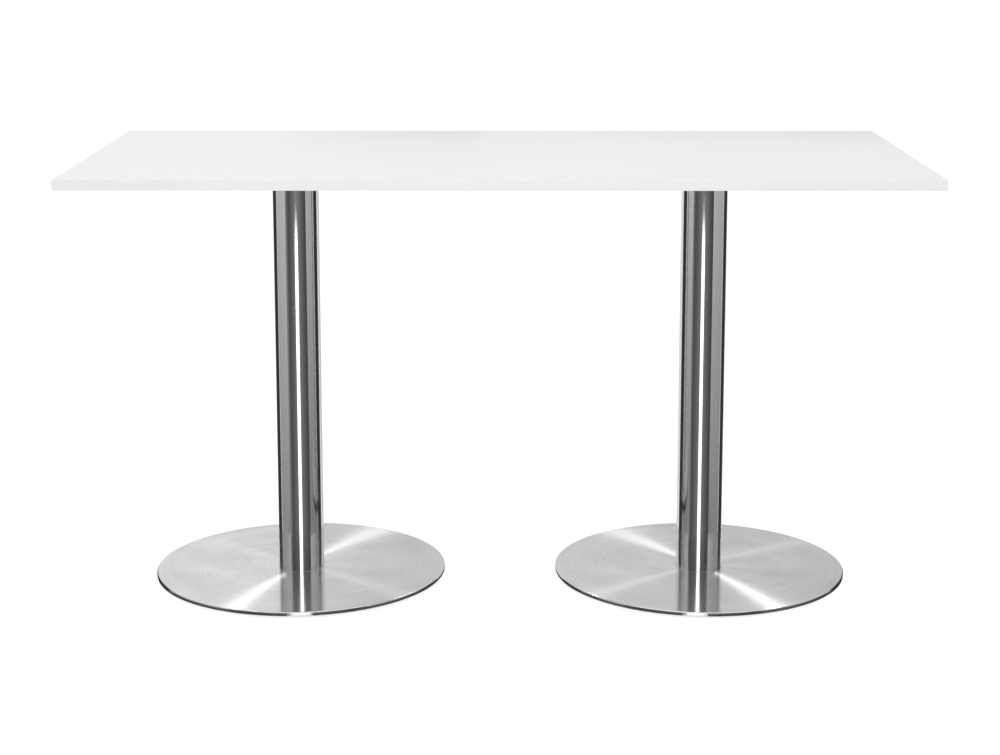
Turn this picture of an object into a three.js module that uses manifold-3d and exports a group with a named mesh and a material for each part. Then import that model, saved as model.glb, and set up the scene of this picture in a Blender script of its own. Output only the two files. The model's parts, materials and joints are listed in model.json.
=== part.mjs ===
// Standing meeting table: a white laminate top carried by two columns on round floor discs.
// Millimetres, +Z up. The origin is on the floor under the middle of the top, and +X runs along the top.
import * as THREE from "three";
import { mergeVertices } from "three/addons/utils/BufferGeometryUtils.js";
import Module from "manifold-3d";

const wasm = await Module();
wasm.setup();

// Tabletop
const topLength = 2000;
const topWidth = 1000;
const tableHeight = 1070;
const coreThickness = 22;
const laminateThickness = 1;
const bandThickness = 2;
const bandArris = 1.5;

// Column and the ring that centres its foot
const columnSpacing = 1010;
const columnDiameter = 114;
const columnWall = 2;
const ringWall = 8;
const ringHeight = 16;
const ringChamfer = 2;

// Floor disc: a steel plate inside a spun stainless cover, whose rim is rolled under the plate
const discDiameter = 728;
const coverSheet = 1.25;
const rimRadius = 4;
const rollRadius = 2;
const rollReturn = 12;
const plateThickness = 8;
const plateChamfer = 3;

// Levelling foot: a nylon pad that a flanged stem turns in
const footCircleRadius = 322;
const padDiameter = 36;
const padSole = 2;
const padLip = 1.25;
const padChamfer = 1.5;
const keyHoleDiameter = 7;
const stemDiameter = 8;
const stemFlangeDiameter = 16;
const stemFlangeThickness = 1.75;
const stemChamfer = 0.75;
const stemKeyAcross = 4;
const stemKeyDepth = 3;

// Tie rod with a 90 degree countersunk head, its washer and nut
const rodDiameter = 16;
const rodHeadDiameter = 31;
const rodProud = 1.5;
const washerDiameter = 30;
const washerThickness = 3;
const nutAcross = 24;
const nutHeight = 13;

// Cast spider under the top: a hub with a socket for the tube, and four ribbed arms
const socketDepth = 14;
const socketWall = 6;
const hubDraft = 2;
const webThickness = 8;
const recessDiameter = 64;
const armReach = 232;
const armRootWidth = 58;
const armTipWidth = 40;
const armThickness = 8;
const ribThickness = 10;
const ribDepth = 24;
const ribStop = 34;

// Fixing screws and the threaded inserts in the core
const screwDiameter = 8;
const screwLength = 22;
const screwFlangeDiameter = 17;
const screwFlangeThickness = 1.5;
const screwHeadAcross = 13;
const screwHeadHeight = 5;
const insertDiameter = 12;
const insertLength = 15;
const insertHoleDepth = 18;

// Clearances
const seatGap = 0.25;
const radialGap = 0.3;
const turningGap = 0.5;
const rodHoleGap = 0.5;
const plateEdgeGap = 0.6;

// Facets round a circle, by size of the piece
const discFacets = 48;
const columnFacets = 32;
const smallFacets = 14;
const finestFacets = 12;
const arcSteps = 1;
const arrisSteps = 4;
const tipSteps = 6;

// How far a cutting tool runs past the face that it cuts, and how close two corners are one
const overrun = 1;
const weldDistance = 1e-4;

// Heights, stacked from the floor up and from the top down
const topThickness = coreThickness + 2 * laminateThickness;
const padHeight = padSole + stemFlangeThickness + padLip + 2 * seatGap;
const plateBottom = padHeight + seatGap;
const plateTop = plateBottom + plateThickness;
const discTop = plateTop + coverSheet;
const rimBottom = plateBottom - seatGap - coverSheet;
const topUnderside = tableHeight - topThickness;
const recessFloor = topUnderside - washerThickness - nutHeight - rodProud - rodHoleGap;
const webBottom = recessFloor - webThickness;
const hubBottom = webBottom - socketDepth;
const armUnderside = topUnderside - armThickness;

// Radii that several pieces share
const columnRadius = columnDiameter / 2;
const columnBore = columnRadius - columnWall;
const rodRadius = rodDiameter / 2;
const rodHole = rodRadius + rodHoleGap;
const insertHole = insertDiameter / 2 + radialGap;
const stemHole = stemDiameter / 2 + radialGap;
const screwHole = screwDiameter / 2 + radialGap;

// The four corners round a pedestal: outer points away from the middle of the table, front towards -Y
const corners = [
  { name: "front_outer", outward: 1, across: -1 },
  { name: "front_inner", outward: -1, across: -1 },
  { name: "back_inner", outward: -1, across: 1 },
  { name: "back_outer", outward: 1, across: 1 },
];
const sides = [
  { name: "left", sign: -1 },
  { name: "right", sign: 1 },
];

const finish = (color, roughness, metalness) =>
  new THREE.MeshStandardMaterial({ color, roughness, metalness });
const whiteLaminate = finish(0xf2f1ef, 0.45, 0);
const whiteBand = finish(0xe9e8e6, 0.5, 0);
const chipboard = finish(0xb99a6b, 0.9, 0);
const brushedStainless = finish(0xb9b8b5, 0.3, 1);
const darkPlate = finish(0x3b3c3e, 0.55, 0.8);
const castBlack = finish(0x1d1e20, 0.65, 0.4);
const zincSteel = finish(0xa9acb0, 0.4, 1);
const blackNylon = finish(0x191919, 0.6, 0);

function mesh(name, geometry, material) {
  const made = new THREE.Mesh(geometry, material);
  made.name = name;
  return made;
}

// A closed profile of (radius, height) points, or a Path of lines and arcs, turned about the Z axis.
function turned(profile, facets) {
  const isPath = profile instanceof THREE.Path;
  const points = isPath ? profile.getPoints(arcSteps) : profile.map(([r, z]) => new THREE.Vector2(r, z));
  const onAxis = points[0].x === 0 && points.at(-1).x === 0;
  const outline = onAxis ? points : [...points, points[0].clone()];
  const anticlockwise = THREE.ShapeUtils.area(points) > 0;
  const geometry = new THREE.LatheGeometry(anticlockwise ? outline : outline.reverse(), facets);
  return geometry.rotateX(Math.PI / 2);
}

// An upright prism over a plan outline, standing on the given height.
function prism(shape, height, bottom) {
  const options = { depth: height, bevelEnabled: false, curveSegments: tipSteps };
  return new THREE.ExtrudeGeometry(shape, options).translate(0, 0, bottom);
}

function box(sizeX, sizeY, bottom, top) {
  return new THREE.BoxGeometry(sizeX, sizeY, top - bottom).translate(0, 0, (bottom + top) / 2);
}

function rod(radius, bottom, top, facets) {
  return turned([[0, bottom], [radius, bottom], [radius, top], [0, top]], facets);
}

function hexagon(across, bottom, top) {
  return rod(across / Math.sqrt(3), bottom, top, 6);
}

// Geometry to a solid that can be cut or joined, and back.
function solid(geometry) {
  const bare = geometry.clone();
  bare.deleteAttribute("normal");
  bare.deleteAttribute("uv");
  const merged = mergeVertices(bare, weldDistance);
  return new wasm.Manifold(
    new wasm.Mesh({
      numProp: 3,
      vertProperties: new Float32Array(merged.attributes.position.array),
      triVerts: new Uint32Array(merged.index.array),
    }),
  );
}

function geometryOf(body) {
  const { vertProperties, triVerts } = body.getMesh();
  const geometry = new THREE.BufferGeometry();
  geometry.setAttribute("position", new THREE.BufferAttribute(vertProperties, 3));
  geometry.setIndex(new THREE.BufferAttribute(triVerts, 1));
  return geometry;
}

const cut = (geometry, tools) =>
  geometryOf(tools.reduce((body, tool) => body.subtract(solid(tool)), solid(geometry)));
const join = (pieces) => geometryOf(pieces.map(solid).reduce((body, piece) => body.add(piece)));

// Plan place of a pedestal corner at a distance from the column's axis, along the diagonal.
function cornerPlace(side, corner, distance) {
  const offset = distance / Math.SQRT2;
  return [side.sign * corner.outward * offset, corner.across * offset];
}

// Tabletop: core, a laminate on each face and four edge bands
function insertHoles() {
  return sides.flatMap((side) =>
    corners.map((corner) => {
      const [x, y] = cornerPlace(side, corner, armReach);
      const holeTop = topUnderside + insertHoleDepth;
      const drill = rod(insertHole, topUnderside - overrun, holeTop, finestFacets);
      return drill.translate(x + (side.sign * columnSpacing) / 2, y, 0);
    }),
  );
}

// Section of an edge band: flat against the board, with both outer arrises rounded.
function bandSection() {
  const section = new THREE.Shape();
  section.moveTo(0, 0);
  section.lineTo(bandThickness - bandArris, 0);
  section.absarc(bandThickness - bandArris, bandArris, bandArris, -Math.PI / 2, 0);
  section.absarc(bandThickness - bandArris, topThickness - bandArris, bandArris, 0, Math.PI / 2);
  section.lineTo(0, topThickness);
  return section;
}

// A band runs along +X with its outer face towards -Y, then turns into its place about the Z axis.
function edgeBand(name, length, distance, turn) {
  const run = { depth: length, bevelEnabled: false, curveSegments: arrisSteps };
  const band = new THREE.ExtrudeGeometry(bandSection(), run);
  band.translate(0, 0, -length / 2);
  band.rotateX(Math.PI / 2);
  band.rotateZ(-Math.PI / 2);
  band.translate(0, -distance, topUnderside);
  const placed = mesh(name, band, whiteBand);
  placed.rotation.z = turn;
  return placed;
}

function tabletop() {
  const top = new THREE.Group();
  const boardLength = topLength - 2 * bandThickness;
  const boardWidth = topWidth - 2 * bandThickness;
  const coreBottom = topUnderside + laminateThickness;
  const coreTop = coreBottom + coreThickness;
  const core = box(boardLength, boardWidth, coreBottom, coreTop);
  const backing = box(boardLength, boardWidth, topUnderside, coreBottom);
  const face = box(boardLength, boardWidth, coreTop, tableHeight);
  top.add(mesh("tabletop_core", cut(core, insertHoles()), chipboard));
  top.add(mesh("underside_laminate", cut(backing, insertHoles()), whiteLaminate));
  top.add(mesh("top_laminate", face, whiteLaminate));
  top.add(edgeBand("front_edge_band", topLength, boardWidth / 2, 0));
  top.add(edgeBand("back_edge_band", topLength, boardWidth / 2, Math.PI));
  top.add(edgeBand("left_edge_band", boardWidth, boardLength / 2, -Math.PI / 2));
  top.add(edgeBand("right_edge_band", boardWidth, boardLength / 2, Math.PI / 2));
  return top;
}

// Spun cover: a flat face, a rounded edge, a short skirt and a lip rolled in under the plate.
function coverProfile() {
  const outer = discDiameter / 2;
  const edge = outer - rimRadius;
  const roll = outer - rollRadius;
  const lip = outer - rollReturn;
  const profile = new THREE.Path();
  profile.moveTo(columnBore, discTop);
  profile.lineTo(edge, discTop);
  profile.absarc(edge, discTop - rimRadius, rimRadius, Math.PI / 2, 0, true);
  profile.absarc(roll, rimBottom + rollRadius, rollRadius, 0, -Math.PI / 2, true);
  profile.lineTo(lip, rimBottom);
  profile.lineTo(lip, rimBottom + coverSheet);
  profile.absarc(roll, rimBottom + rollRadius, rollRadius - coverSheet, -Math.PI / 2, 0);
  profile.absarc(edge, discTop - rimRadius, rimRadius - coverSheet, 0, Math.PI / 2);
  profile.lineTo(columnBore, plateTop);
  return profile;
}

// Steel plate: chamfered to sit in the cover's edge, drilled for the feet and countersunk for the rod.
function basePlate(side) {
  const radius = discDiameter / 2 - coverSheet - plateEdgeGap;
  const sink = rodHeadDiameter / 2 + rodHoleGap;
  const plate = turned(
    [
      [0, plateBottom],
      [radius, plateBottom],
      [radius, plateTop - plateChamfer],
      [radius - plateChamfer, plateTop],
      [0, plateTop],
    ],
    discFacets,
  );
  const countersink = turned(
    [[0, plateBottom - overrun], [sink + overrun, plateBottom - overrun], [0, plateBottom + sink]],
    columnFacets,
  );
  const rodDrill = rod(rodHole, plateBottom - overrun, plateTop + overrun, smallFacets);
  const footDrills = corners.map((corner) => {
    const drill = rod(stemHole, plateBottom - overrun, plateTop + overrun, smallFacets);
    return drill.translate(...cornerPlace(side, corner, footCircleRadius), 0);
  });
  return cut(plate, [countersink, rodDrill, ...footDrills]);
}

function locatingRing() {
  const outer = columnBore - radialGap;
  const top = plateTop + ringHeight;
  return turned(
    [
      [outer - ringWall, plateTop],
      [outer, plateTop],
      [outer, top - ringChamfer],
      [outer - ringChamfer, top],
      [outer - ringWall, top],
    ],
    columnFacets,
  );
}

function columnTube() {
  return turned(
    [
      [columnBore, discTop],
      [columnRadius, discTop],
      [columnRadius, webBottom],
      [columnBore, webBottom],
    ],
    columnFacets,
  );
}

function tieRod() {
  const headBottom = plateBottom + seatGap;
  const headRadius = rodHeadDiameter / 2 - seatGap;
  return turned(
    [
      [0, headBottom],
      [headRadius, headBottom],
      [rodRadius, headBottom + headRadius - rodRadius],
      [rodRadius, topUnderside - rodHoleGap],
      [0, topUnderside - rodHoleGap],
    ],
    smallFacets,
  );
}

function washer(bottom) {
  return turned(
    [
      [rodHole, bottom],
      [washerDiameter / 2, bottom],
      [washerDiameter / 2, bottom + washerThickness],
      [rodHole, bottom + washerThickness],
    ],
    smallFacets,
  );
}

// Hexagon nut whose corners are turned off by a cone at both ends.
function nut(bottom) {
  const top = bottom + nutHeight;
  const cornerRadius = nutAcross / Math.sqrt(3);
  const flatRadius = nutAcross / 2;
  const bevel = (cornerRadius - flatRadius) / 2;
  const blank = turned(
    [
      [0, bottom],
      [flatRadius, bottom],
      [cornerRadius, bottom + bevel],
      [cornerRadius, top - bevel],
      [flatRadius, top],
      [0, top],
    ],
    smallFacets,
  );
  const bore = rod(rodRadius + radialGap, bottom - overrun, top + overrun, smallFacets);
  const body = solid(hexagon(nutAcross, bottom, top)).intersect(solid(blank));
  return geometryOf(body.subtract(solid(bore)));
}

// Hub of the spider: a socket for the tube below, a web, and a recess for the nut above.
function spiderHub() {
  const socket = columnRadius + radialGap;
  const outer = socket + socketWall;
  const recess = recessDiameter / 2;
  return turned(
    [
      [rodHole, webBottom],
      [socket, webBottom],
      [socket, hubBottom],
      [outer, hubBottom],
      [outer + hubDraft, topUnderside],
      [recess + hubDraft, topUnderside],
      [recess, recessFloor],
      [rodHole, recessFloor],
    ],
    columnFacets,
  );
}

// An arm along +X: a tapered flange with a round tip and a screw hole, over a rib that runs out.
function spiderArm() {
  const root = columnRadius - columnWall;
  const tip = armTipWidth / 2;
  const outline = new THREE.Shape();
  outline.moveTo(root, -armRootWidth / 2);
  outline.lineTo(armReach, -tip);
  outline.absarc(armReach, 0, tip, -Math.PI / 2, Math.PI / 2);
  outline.lineTo(root, armRootWidth / 2);
  const flange = prism(outline, armThickness, armUnderside);
  const hole = rod(screwHole, armUnderside - overrun, topUnderside + overrun, finestFacets);

  const ribRoot = columnRadius + radialGap + socketWall / 2;
  const ribEnd = armReach - ribStop;
  const side = new THREE.Shape();
  side.moveTo(ribRoot, armUnderside + overrun);
  side.lineTo(ribRoot, armUnderside - ribDepth);
  side.quadraticCurveTo((ribRoot + ribEnd) / 2, armUnderside - ribDepth / 4, ribEnd, armUnderside);
  side.lineTo(ribEnd, armUnderside + overrun);
  const rib = prism(side, ribThickness, -ribThickness / 2).rotateX(Math.PI / 2);
  return cut(join([flange, rib]), [hole.translate(armReach, 0, 0)]);
}

function spider() {
  const arms = corners.map((corner) => spiderArm().rotateZ(Math.atan2(corner.across, corner.outward)));
  return join([spiderHub(), ...arms]);
}

// Flange-head screw, pointing up through a spider arm.
function fixingScrew() {
  const flangeBottom = armUnderside - screwFlangeThickness;
  const stud = turned(
    [
      [0, flangeBottom],
      [screwFlangeDiameter / 2, flangeBottom],
      [screwFlangeDiameter / 2, armUnderside],
      [screwDiameter / 2, armUnderside],
      [screwDiameter / 2, armUnderside + screwLength],
      [0, armUnderside + screwLength],
    ],
    finestFacets,
  );
  return join([stud, hexagon(screwHeadAcross, flangeBottom - screwHeadHeight, flangeBottom + seatGap)]);
}

function threadedInsert() {
  const bottom = topUnderside + seatGap;
  return turned(
    [
      [screwHole, bottom],
      [insertDiameter / 2, bottom],
      [insertDiameter / 2, bottom + insertLength],
      [screwHole, bottom + insertLength],
    ],
    finestFacets,
  );
}

// Nylon pad: a round sole with a key hole, and a lip that keeps the stem's flange in its pocket.
function footPad() {
  const outer = padDiameter / 2;
  const pocket = stemFlangeDiameter / 2 + turningGap;
  const neck = stemDiameter / 2 + turningGap;
  const pocketTop = padHeight - padLip;
  return turned(
    [
      [keyHoleDiameter / 2, 0],
      [outer - padChamfer, 0],
      [outer, padChamfer],
      [outer, padHeight],
      [neck, padHeight],
      [neck, pocketTop],
      [pocket, pocketTop],
      [pocket, padSole],
      [keyHoleDiameter / 2, padSole],
    ],
    smallFacets,
  );
}

// Stem: a flange that turns in the pad, a shank in the plate, and a hexagon socket reached from below.
function footStem() {
  const bottom = padSole + seatGap;
  const shoulder = bottom + stemFlangeThickness;
  const radius = stemDiameter / 2;
  const end = plateTop - seatGap;
  const stem = turned(
    [
      [0, bottom],
      [stemFlangeDiameter / 2, bottom],
      [stemFlangeDiameter / 2, shoulder],
      [radius, shoulder],
      [radius, end - stemChamfer],
      [radius - stemChamfer, end],
      [0, end],
    ],
    finestFacets,
  );
  return cut(stem, [hexagon(stemKeyAcross, bottom - overrun, bottom + stemKeyDepth)]);
}

function pedestal(side) {
  const group = new THREE.Group();
  group.position.x = (side.sign * columnSpacing) / 2;
  const add = (name, geometry, material) => group.add(mesh(`${side.name}_${name}`, geometry, material));
  add("base_cover", turned(coverProfile(), discFacets), brushedStainless);
  add("base_plate", basePlate(side), darkPlate);
  add("locating_ring", locatingRing(), zincSteel);
  add("column", columnTube(), brushedStainless);
  add("spider", spider(), castBlack);
  add("tie_rod", tieRod(), zincSteel);
  add("rod_washer", washer(recessFloor), zincSteel);
  add("rod_nut", nut(recessFloor + washerThickness), zincSteel);
  for (const corner of corners) {
    const atArm = new THREE.Group();
    const atFoot = new THREE.Group();
    const name = `${side.name}_${corner.name}`;
    atArm.position.set(...cornerPlace(side, corner, armReach), 0);
    atFoot.position.set(...cornerPlace(side, corner, footCircleRadius), 0);
    atArm.add(mesh(`${name}_spider_screw`, fixingScrew(), zincSteel));
    atArm.add(mesh(`${name}_screw_insert`, threadedInsert(), zincSteel));
    atFoot.add(mesh(`${name}_levelling_pad`, footPad(), blackNylon));
    atFoot.add(mesh(`${name}_levelling_stem`, footStem(), zincSteel));
    group.add(atArm, atFoot);
  }
  return group;
}

const table = new THREE.Group();
table.add(tabletop(), ...sides.map(pedestal));

export default table;
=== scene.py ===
import json
import math
from types import SimpleNamespace

import bmesh
import bpy
import numpy as np
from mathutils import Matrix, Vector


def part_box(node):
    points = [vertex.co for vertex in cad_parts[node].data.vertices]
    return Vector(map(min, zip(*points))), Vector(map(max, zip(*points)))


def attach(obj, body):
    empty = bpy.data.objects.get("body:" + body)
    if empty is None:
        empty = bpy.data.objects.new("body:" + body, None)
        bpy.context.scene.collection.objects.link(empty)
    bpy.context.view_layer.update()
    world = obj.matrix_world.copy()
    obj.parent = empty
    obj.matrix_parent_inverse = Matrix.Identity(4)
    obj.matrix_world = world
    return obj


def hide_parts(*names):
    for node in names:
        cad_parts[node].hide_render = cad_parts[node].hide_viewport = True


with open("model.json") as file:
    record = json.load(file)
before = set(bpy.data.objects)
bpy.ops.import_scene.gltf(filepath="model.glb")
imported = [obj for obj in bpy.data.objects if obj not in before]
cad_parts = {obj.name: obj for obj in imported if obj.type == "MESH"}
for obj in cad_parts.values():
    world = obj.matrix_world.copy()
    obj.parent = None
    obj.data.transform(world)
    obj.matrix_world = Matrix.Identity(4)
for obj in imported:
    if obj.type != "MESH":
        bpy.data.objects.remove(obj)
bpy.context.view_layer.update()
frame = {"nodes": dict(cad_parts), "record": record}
nodes = frame["nodes"]
mm = 0.001
sides = ["left", "right"]
corners = ["front_outer", "front_inner", "back_inner", "back_outer"]

meshLook = {
    "arcShare": 0.48,       # most of a straight run that one rounded corner may take
    "longRun": 4,           # a run is long from this many insets on
    "weld": 0.002 * mm,
    "sliver": 0.0001 * mm,
    "sharpAngle": 40,
    "tiny": 1e-12,          # keeps lengths of zero out of divisions
}


# Each corner of an outline becomes a true arc: a rational quadratic from tangent point to tangent point,
# whose middle weight is the cosine of half the turn. A leading axis holds one outline per station.
def roundCorners(outline, radii, steps):
    outline = np.asarray(outline, float)
    radii = np.broadcast_to(np.asarray(radii, float), outline.shape[:-1])
    back = np.roll(outline, 1, axis=-2) - outline
    ahead = np.roll(outline, -1, axis=-2) - outline
    backLength = np.linalg.norm(back, axis=-1)
    aheadLength = np.linalg.norm(ahead, axis=-1)
    back = back / np.maximum(backLength, meshLook["tiny"])[..., None]
    ahead = ahead / np.maximum(aheadLength, meshLook["tiny"])[..., None]
    halfTurn = np.arccos(np.clip(-(back * ahead).sum(-1), -1, 1)) / 2
    room = meshLook["arcShare"] * np.minimum(backLength, aheadLength)
    reach = np.minimum(radii * np.tan(halfTurn), room)[..., None]
    t = np.linspace(0, 1, steps + 1)
    weight = np.stack([
        np.broadcast_to((1 - t) ** 2, halfTurn.shape + t.shape),
        2 * t * (1 - t) * np.cos(halfTurn)[..., None],
        np.broadcast_to(t ** 2, halfTurn.shape + t.shape),
    ], -1)
    weight = weight / weight.sum(-1, keepdims=True)
    control = np.stack([outline + back * reach, outline, outline + ahead * reach], -2)
    arcs = weight @ control
    return arcs.reshape(*outline.shape[:-2], -1, 2)


# A closed profile starts and ends on the same point. Long straight runs get a point close to each end,
# so that smooth shading stays flat between them.
def closeProfile(profile, inset):
    loop = np.vstack([profile, profile[:1]])
    step = np.diff(loop, axis=0)
    length = np.linalg.norm(step, axis=1, keepdims=True)
    share = inset / np.maximum(length, meshLook["tiny"])
    share = np.where(length > meshLook["longRun"] * inset, share, np.nan)
    points = np.stack([loop[:-1], loop[:-1] + share * step, loop[1:] - share * step], 1).reshape(-1, 2)
    points = np.vstack([points, profile[:1]])
    return points[~np.isnan(points[:, 0])]


# A closed profile from rows of radius, height and corner radius.
def roundedProfile(rows, steps, inset):
    rows = np.array(rows)
    return closeProfile(roundCorners(rows[:, :2], rows[:, 2], steps), inset)


def runLength(profile):
    return np.concatenate([[0], np.cumsum(np.linalg.norm(np.diff(profile, axis=0), axis=1))])


# A mesh from a grid of points: rows run along the piece, columns run round it and close on themselves.
# UV holds the length along the rows in metres and the share of the way round.
def gridMesh(name, points, along):
    rows, columns = points.shape[:2]
    r, c = np.meshgrid(np.arange(rows - 1), np.arange(columns), indexing="ij")
    cornerRow = np.stack([r, r, r + 1, r + 1], -1).reshape(-1, 4)
    cornerColumn = np.stack([c, c + 1, c + 1, c], -1).reshape(-1, 4)
    mesh = bpy.data.meshes.new(name)
    mesh.from_pydata(points.reshape(-1, 3), [], cornerRow * columns + cornerColumn % columns)
    uv = np.stack([along[cornerRow], cornerColumn / columns], -1)
    mesh.uv_layers.new(name="turned").uv.foreach_set("vector", uv.ravel().astype(np.float32))
    return weld(mesh)


# Closes seams and poles, where rows or columns of a grid meet.
def weld(mesh):
    work = bmesh.new()
    work.from_mesh(mesh)
    bmesh.ops.remove_doubles(work, verts=work.verts, dist=meshLook["weld"])
    bmesh.ops.dissolve_degenerate(work, edges=work.edges, dist=meshLook["sliver"])
    work.to_mesh(mesh)
    work.free()
    return mesh


def placePiece(mesh, finish, body, replaced, sharpAngle=meshLook["sharpAngle"]):
    mesh.shade_smooth()
    mesh.set_sharp_from_angle(angle=math.radians(sharpAngle))
    mesh.materials.append(finish["material"])
    piece = bpy.data.objects.new(mesh.name, mesh)
    bpy.context.scene.collection.objects.link(piece)
    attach(piece, body)
    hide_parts(*replaced)


# A profile of radius and height carried round an upright axis: x = r cos a, y = r sin a.
# shape may change the radius by angle: it takes radius and angle as grids.
def turnedPoints(profile, axis, segments, shape=None):
    angle = np.linspace(0, 2 * np.pi, segments, endpoint=False)
    radius = np.repeat(profile[:, :1], segments, axis=1)
    if shape is not None:
        radius = shape(radius, angle[None, :])
    height = np.repeat(profile[:, 1:], segments, axis=1)
    return np.stack([axis[0] + radius * np.cos(angle), axis[1] + radius * np.sin(angle), height], -1)


def turnedPiece(name, profile, axis, segments, finish, body, replaced, shape=None):
    profile = np.asarray(profile)
    points = turnedPoints(profile, axis, segments, shape)
    placePiece(gridMesh(name, points, runLength(profile)), finish, body, replaced)


# Radius of a hexagon by angle, a flat of it facing +X: half its width over the cosine to the nearest flat.
def hexRadius(across, angle):
    return across / 2 / np.cos((angle + np.pi / 6) % (np.pi / 3) - np.pi / 6)


# Keeps the first rows of a turned profile inside a hexagon, for a bolt head or a key socket.
def hexShape(across, hexRows):
    def shape(radius, angle):
        inHex = np.arange(len(radius))[:, None] < hexRows
        return np.where(inHex, np.minimum(radius, hexRadius(across, angle)), radius)

    return shape


# Rows of a hexagon key socket in an end face, and the round row where its edge is broken.
def keySocket(look, face):
    corner = look["keyAcross"] / math.sqrt(3)
    floor = face + look["keyDepth"]
    socketRows = [(0, floor), (corner, floor), (corner, face + look["keyBreak"])]
    return socketRows, (corner + look["keyBreak"], face)


# Points turned about the upright axis and then moved to their place.
def turnAbout(x, y, z, turn, place=(0, 0)):
    turnedX = place[0] + x * math.cos(turn) - y * math.sin(turn)
    turnedY = place[1] + x * math.sin(turn) + y * math.cos(turn)
    return np.stack([turnedX, turnedY, z], -1)


def boxCorners(name):
    return [np.array(corner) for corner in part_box(name)]


# Where a round CAD node stands.
def roundNode(name):
    low, high = boxCorners(name)
    middle = (low + high) / 2
    return SimpleNamespace(axis=middle[:2], radius=(high[0] - low[0]) / 2, bottom=low[2], top=high[2])


def addNode(tree, kind, values=(), **settings):
    node = tree.nodes.new(kind)
    for key, value in settings.items():
        setattr(node, key, value)
    for key, value in dict(values).items():
        if isinstance(value, bpy.types.NodeSocket):
            tree.links.new(value, node.inputs[key])
        else:
            node.inputs[key].default_value = value
    return node


def calc(tree, operation, first, second=0.0):
    return addNode(tree, "ShaderNodeMath", {0: first, 1: second}, operation=operation).outputs[0]


# The sum of values, each times its own share.
def sumShares(tree, first, *others):
    total = calc(tree, "MULTIPLY", *first)
    for value, share in others:
        total = calc(tree, "ADD", total, calc(tree, "MULTIPLY", value, share))
    return total


def spread(tree, value, low, high):
    return addNode(tree, "ShaderNodeMapRange", {"Value": value, "To Min": low, "To Max": high}).outputs[0]


# A Mix node has its colours at inputs 6 and 7, and the blended colour at output 2.
def blendColours(tree, share, first, second):
    values = {0: share, 6: (*first, 1), 7: (*second, 1)}
    return addNode(tree, "ShaderNodeMix", values, data_type="RGBA").outputs[2]


def grey(tone):
    return (tone, tone, tone, 1)


def newGroup(name, inputs, outputs):
    tree = bpy.data.node_groups.new(name, "ShaderNodeTree")
    for socketName, kind in inputs.items():
        tree.interface.new_socket(socketName, in_out="INPUT", socket_type="NodeSocket" + kind)
    for socketName in outputs:
        tree.interface.new_socket(socketName, in_out="OUTPUT", socket_type="NodeSocketFloat")
    return tree, addNode(tree, "NodeGroupInput").outputs, addNode(tree, "NodeGroupOutput").inputs


# Each kind of brush line: its share of the lines per metre, and the detail of its noise.
lineLook = {
    "kinds": {"Fine": (1.0, 3), "Coarse": (0.16, 2), "Cloud": (0.012, 2)},
    "contrast": (-0.5, 1.5),
}


# Brush lines of a turned piece: noise stretched round the axis. The way round is given as a circle
# (cosine, sine), so the lines close without a seam.
def makeTurnedLines():
    inputs = {"UV": "Vector", "Lines per metre": "Float", "Arc": "Float"}
    tree, given, made = newGroup("turnedLines", inputs, lineLook["kinds"])
    parts = addNode(tree, "ShaderNodeSeparateXYZ", {0: given["UV"]}).outputs
    turn = calc(tree, "MULTIPLY", parts[1], 2 * math.pi)
    circle = [calc(tree, "MULTIPLY", calc(tree, way, turn), given["Arc"]) for way in ("COSINE", "SINE")]
    lines = calc(tree, "MULTIPLY", parts[0], given["Lines per metre"])
    for output, (share, detail) in lineLook["kinds"].items():
        across = calc(tree, "MULTIPLY", lines, share)
        where = addNode(tree, "ShaderNodeCombineXYZ", {0: circle[0], 1: circle[1], 2: across}).outputs[0]
        noise = addNode(tree, "ShaderNodeTexNoise", {"Vector": where, "Scale": 1.0, "Detail": detail})
        tree.links.new(spread(tree, noise.outputs[0], *lineLook["contrast"]), made[output])
    return tree


noiseLook = {"grain": {"Detail": 3, "Roughness": 0.6}, "cloud": {"Detail": 4, "Roughness": 0.55}}


# Grain of a moulded, coated or pressed surface: a fine noise, cell-like pits and a slow cloud.
def makeSurfaceGrain():
    inputs = {"Place": "Vector", "Grain per metre": "Float", "Clouds per metre": "Float"}
    tree, given, made = newGroup("surfaceGrain", inputs, ["Grain", "Pits", "Cloud"])
    fine = {"Vector": given["Place"], "Scale": given["Grain per metre"]}
    slow = {"Vector": given["Place"], "Scale": given["Clouds per metre"]}
    grain = addNode(tree, "ShaderNodeTexNoise", {**fine, **noiseLook["grain"]})
    pits = addNode(tree, "ShaderNodeTexVoronoi", fine, feature="SMOOTH_F1")
    cloud = addNode(tree, "ShaderNodeTexNoise", {**slow, **noiseLook["cloud"]})
    tree.links.new(grain.outputs[0], made["Grain"])
    tree.links.new(pits.outputs["Distance"], made["Pits"])
    tree.links.new(cloud.outputs[0], made["Cloud"])
    return tree


turnedLines = makeTurnedLines()
surfaceGrain = makeSurfaceGrain()


def newMaterial(name):
    material = bpy.data.materials.new(name)
    material.use_nodes = True
    return material, material.node_tree, material.node_tree.nodes["Principled BSDF"]


def placeGroup(tree, group, values):
    return addNode(tree, "ShaderNodeGroup", values, node_tree=group).outputs


def joinBump(tree, shader, height, look):
    bump = addNode(tree, "ShaderNodeBump", {
        "Height": height, "Strength": look["bump"], "Distance": look["depth"]})
    tree.links.new(bump.outputs[0], shader.inputs["Normal"])


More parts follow.
